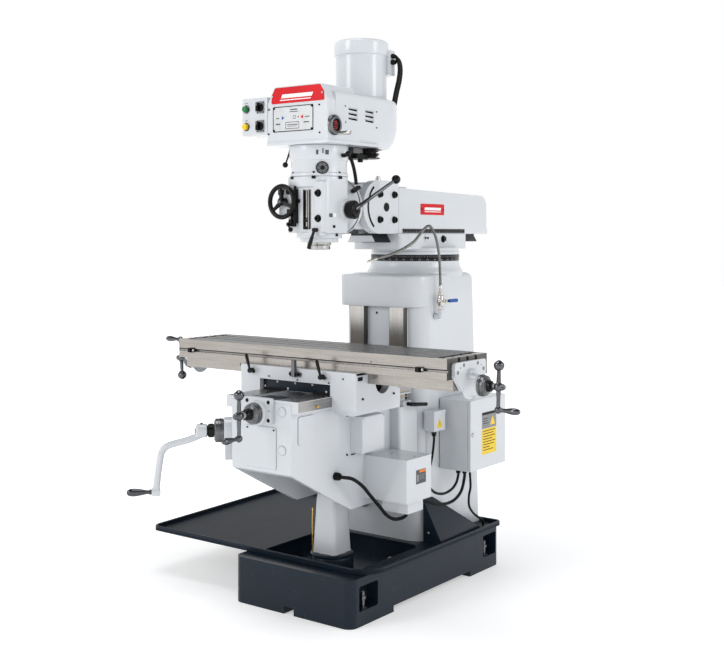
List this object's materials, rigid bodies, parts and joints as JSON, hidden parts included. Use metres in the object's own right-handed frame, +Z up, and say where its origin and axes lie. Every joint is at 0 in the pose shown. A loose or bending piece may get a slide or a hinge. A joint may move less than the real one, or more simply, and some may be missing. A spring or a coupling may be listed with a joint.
{
  "type": "knee-type vertical turret milling machine",
  "caption": "Vertical turret milling machine with a T-slotted table, knee, saddle, column, ram, tilting belt-driven head, chip pan and electrical cabinet.",
  "frame": {"origin": "on the floor, at the centre of the machine's outline seen from above, in the middle plane of its column", "axes": "+Z up; +X to the operator's right along the table; the operator stands at -Y and the ram points along -Y"},
  "size_m": [1.9557, 1.8609, 2.4883],
  "materials": {
    "paint": "gloss light grey enamel",
    "dark_paint": "gloss dark blue-grey enamel",
    "steel": "ground",
    "dial": "satin",
    "chrome": "polished",
    "black": "gloss",
    "cable": "satin",
    "blue": "satin",
    "green": "gloss",
    "yellow": "gloss"
  },
  "bodies": {
    "frame": {"base_casting": "dark_paint", "chip_pan": "dark_paint", "column": "paint", "screw_pedestal": "paint", "electrical_cabinet": "paint", "junction_box": "paint", "cabinet_cable_upper": "cable", "cabinet_cable_lower": "cable", "cabinet_cable_base": "cable", "coolant_valve": "chrome", "coolant_hose": "steel"},
    "cabinet_door": {"cabinet_door": "paint"},
    "valve_lever": {"valve_lever": "blue"},
    "knee": {"knee_casting": "paint", "power_box": "paint", "relay_cover": "paint", "knee_conduit": "cable", "y_bearing_plate": "paint", "z_shaft_housing": "paint"},
    "elevating_screw": {"elevating_screw": "steel"},
    "knee_lock_lever": {"knee_lock_lever": "black"},
    "z_crank": {"z_crank": "paint"},
    "z_crank_grip": {"z_crank_grip": "chrome"},
    "y_crank": {"y_crank": "chrome"},
    "saddle": {"saddle": "paint"},
    "table_lock_left": {"table_lock_left": "black"},
    "table_lock_right": {"table_lock_right": "black"},
    "table": {"table": "steel", "left_end_bracket": "paint", "right_end_bracket": "paint"},
    "travel_stop_left": {"travel_stop_left": "black"},
    "travel_stop_right": {"travel_stop_right": "black"},
    "x_screw": {"x_lead_screw": "steel", "x_crank_left": "chrome", "x_crank_right": "chrome"},
    "turret": {"turret": "paint"},
    "ram": {"ram": "paint", "ram_fork": "paint"},
    "knuckle": {"knuckle": "paint"},
    "head": {"head_casting": "paint", "gear_case": "paint", "belt_housing": "paint", "motor": "paint", "control_box": "paint"},
    "quill": {"quill": "steel"},
    "spindle": {"spindle": "chrome"},
    "motor_pulley": {"motor_pulley": "black"},
    "quill_feed_lever": {"quill_feed_lever": "black"},
    "feed_handwheel": {"feed_handwheel": "black"},
    "feed_trip_lever": {"feed_trip_lever": "black"},
    "brake_lever": {"brake_lever": "black"},
    "range_lever": {"range_lever": "black"},
    "quill_lock_lever": {"quill_lock_lever": "black"},
    "speed_crank": {"speed_crank": "dial"},
    "feed_selector": {"feed_selector": "dial"},
    "start_button": {"start_button": "green"},
    "stop_button": {"stop_button": "yellow"},
    "direction_switch": {"direction_switch": "black"},
    "power_switch": {"power_switch": "black"}
  },
  "joints": [
    {"name": "door_hinge", "type": "hinge", "parent": "frame", "child": "cabinet_door", "pos_m": [0.386, 0.612, 0.68], "axis": [0, 0, 1], "range_deg": [0, 120]},
    {"name": "coolant_valve_turn", "type": "hinge", "parent": "frame", "child": "valve_lever", "pos_m": [0.288, 0.262, 1.3], "axis": [1, 0, 0], "range_deg": [0, 90]},
    {"name": "knee_slide", "type": "slide", "parent": "frame", "child": "knee", "axis": [0, 0, 1], "range_m": [-0.145, 0.255], "deforming": ["cabinet_cable_upper", "cabinet_cable_lower"]},
    {"name": "elevating_screw_turn", "type": "hinge", "parent": "knee", "child": "elevating_screw", "pos_m": [0, -0.216, 0.8], "axis": [0, 0, 1], "continuous": true},
    {"name": "knee_lock_turn", "type": "hinge", "parent": "knee", "child": "knee_lock_lever", "pos_m": [0.2153, 0.06, 0.845], "axis": [1, 0, 0], "range_deg": [-45, 10]},
    {"name": "z_crank_turn", "type": "hinge", "parent": "knee", "child": "z_crank", "pos_m": [-0.161, -0.553, 0.775], "axis": [-0.7071, -0.7071, 0], "continuous": true},
    {"name": "z_grip_turn", "type": "hinge", "parent": "z_crank", "child": "z_crank_grip", "pos_m": [-0.46244, -0.85444, 0.522], "axis": [-0.7071, -0.7071, 0], "continuous": true},
    {"name": "y_crank_turn", "type": "hinge", "parent": "knee", "child": "y_crank", "pos_m": [0, -0.7228, 0.88], "axis": [0, 1, 0], "continuous": true},
    {"name": "saddle_slide", "type": "slide", "parent": "knee", "child": "saddle", "axis": [0, 1, 0], "range_m": [-0.175, 0.225]},
    {"name": "table_lock_left_turn", "type": "hinge", "parent": "saddle", "child": "table_lock_left", "pos_m": [-0.245, -0.464, 1.014], "axis": [0, 1, 0], "range_deg": [-40, 40]},
    {"name": "table_lock_right_turn", "type": "hinge", "parent": "saddle", "child": "table_lock_right", "pos_m": [0.15, -0.464, 1.014], "axis": [0, 1, 0], "range_deg": [-40, 40]},
    {"name": "table_slide", "type": "slide", "parent": "saddle", "child": "table", "axis": [1, 0, 0], "range_m": [-0.405, 0.405]},
    {"name": "travel_stop_left_slide", "type": "slide", "parent": "table", "child": "travel_stop_left", "axis": [1, 0, 0], "range_m": [-0.06, 0.62]},
    {"name": "travel_stop_right_slide", "type": "slide", "parent": "table", "child": "travel_stop_right", "axis": [1, 0, 0], "range_m": [-0.57, 0.105]},
    {"name": "x_screw_turn", "type": "hinge", "parent": "table", "child": "x_screw", "pos_m": [0, -0.2775, 1.01], "axis": [1, 0, 0], "continuous": true},
    {"name": "turret_swivel", "type": "hinge", "parent": "frame", "child": "turret", "pos_m": [0, 0.437, 1.53], "axis": [0, 0, 1], "range_deg": [-180, 180], "deforming": ["coolant_hose"]},
    {"name": "ram_slide", "type": "slide", "parent": "turret", "child": "ram", "axis": [0, -1, 0], "range_m": [-0.25, 0.3]},
    {"name": "head_nod", "type": "hinge", "parent": "ram", "child": "knuckle", "pos_m": [0, -0.03, 1.73], "axis": [1, 0, 0], "range_deg": [-30, 45]},
    {"name": "head_tilt", "type": "hinge", "parent": "knuckle", "child": "head", "pos_m": [0, -0.1755, 1.73], "axis": [0, 1, 0], "range_deg": [-90, 90]},
    {"name": "quill_slide", "type": "slide", "parent": "head", "child": "quill", "axis": [0, 0, 1], "range_m": [-0.127, 0]},
    {"name": "spindle_spin", "type": "hinge", "parent": "quill", "child": "spindle", "pos_m": [0, -0.305, 1.541], "axis": [0, 0, 1], "continuous": true},
    {"name": "motor_pulley_spin", "type": "hinge", "parent": "head", "child": "motor_pulley", "pos_m": [0, 0, 1.946], "axis": [0, 0, 1], "continuous": true},
    {"name": "quill_feed_turn", "type": "hinge", "parent": "head", "child": "quill_feed_lever", "pos_m": [0.1204, -0.25, 1.713], "axis": [1, 0, 0], "range_deg": [0, 241]},
    {"name": "feed_handwheel_turn", "type": "hinge", "parent": "head", "child": "feed_handwheel", "pos_m": [-0.112, -0.424, 1.748], "axis": [0, 1, 0], "continuous": true},
    {"name": "feed_trip_turn", "type": "hinge", "parent": "head", "child": "feed_trip_lever", "pos_m": [-0.088, -0.3984, 1.65], "axis": [0, 1, 0], "range_deg": [-25, 25]},
    {"name": "brake_turn", "type": "hinge", "parent": "head", "child": "brake_lever", "pos_m": [-0.1268, -0.335, 1.972], "axis": [1, 0, 0], "range_deg": [-25, 25]},
    {"name": "range_turn", "type": "hinge", "parent": "head", "child": "range_lever", "pos_m": [0.1268, -0.305, 1.945], "axis": [1, 0, 0], "range_deg": [-60, 60]},
    {"name": "quill_lock_turn", "type": "hinge", "parent": "head", "child": "quill_lock_lever", "pos_m": [0.072, -0.4123, 1.625], "axis": [0, 1, 0], "range_deg": [-40, 40]},
    {"name": "speed_crank_turn", "type": "hinge", "parent": "head", "child": "speed_crank", "pos_m": [0.1684, -0.416, 2.065], "axis": [1, 0, 0], "continuous": true},
    {"name": "feed_selector_turn", "type": "hinge", "parent": "head", "child": "feed_selector", "pos_m": [0.08662, -0.39162, 1.89], "axis": [0.7071, -0.7071, 0], "range_deg": [-60, 60]},
    {"name": "start_button_press", "type": "slide", "parent": "head", "child": "start_button", "axis": [0, 1, 0], "range_m": [0, 0.0035], "stiffness_N_per_m": 400, "springref_m": -0.006},
    {"name": "stop_button_press", "type": "slide", "parent": "head", "child": "stop_button", "axis": [0, 1, 0], "range_m": [0, 0.0035], "stiffness_N_per_m": 400, "springref_m": -0.006},
    {"name": "direction_switch_turn", "type": "hinge", "parent": "head", "child": "direction_switch", "pos_m": [-0.208, -0.4553, 2.16], "axis": [0, 1, 0], "range_deg": [-45, 45]},
    {"name": "power_switch_turn", "type": "hinge", "parent": "head", "child": "power_switch", "pos_m": [-0.208, -0.4553, 2.078], "axis": [0, 1, 0], "range_deg": [-45, 45]}
  ],
  "couplings": [
    {"joint": "elevating_screw_turn", "follows": "knee_slide", "rad_per_m": 1256.6},
    {"joint": "z_crank_turn", "follows": "knee_slide", "rad_per_m": -2513.3},
    {"joint": "y_crank_turn", "follows": "saddle_slide", "rad_per_m": 1256.6},
    {"joint": "x_screw_turn", "follows": "table_slide", "rad_per_m": 1256.6},
    {"joint": "quill_feed_turn", "follows": "quill_slide", "rad_per_m": -33},
    {"joint": "spindle_spin", "follows": "motor_pulley_spin", "ratio": 1}
  ]
}
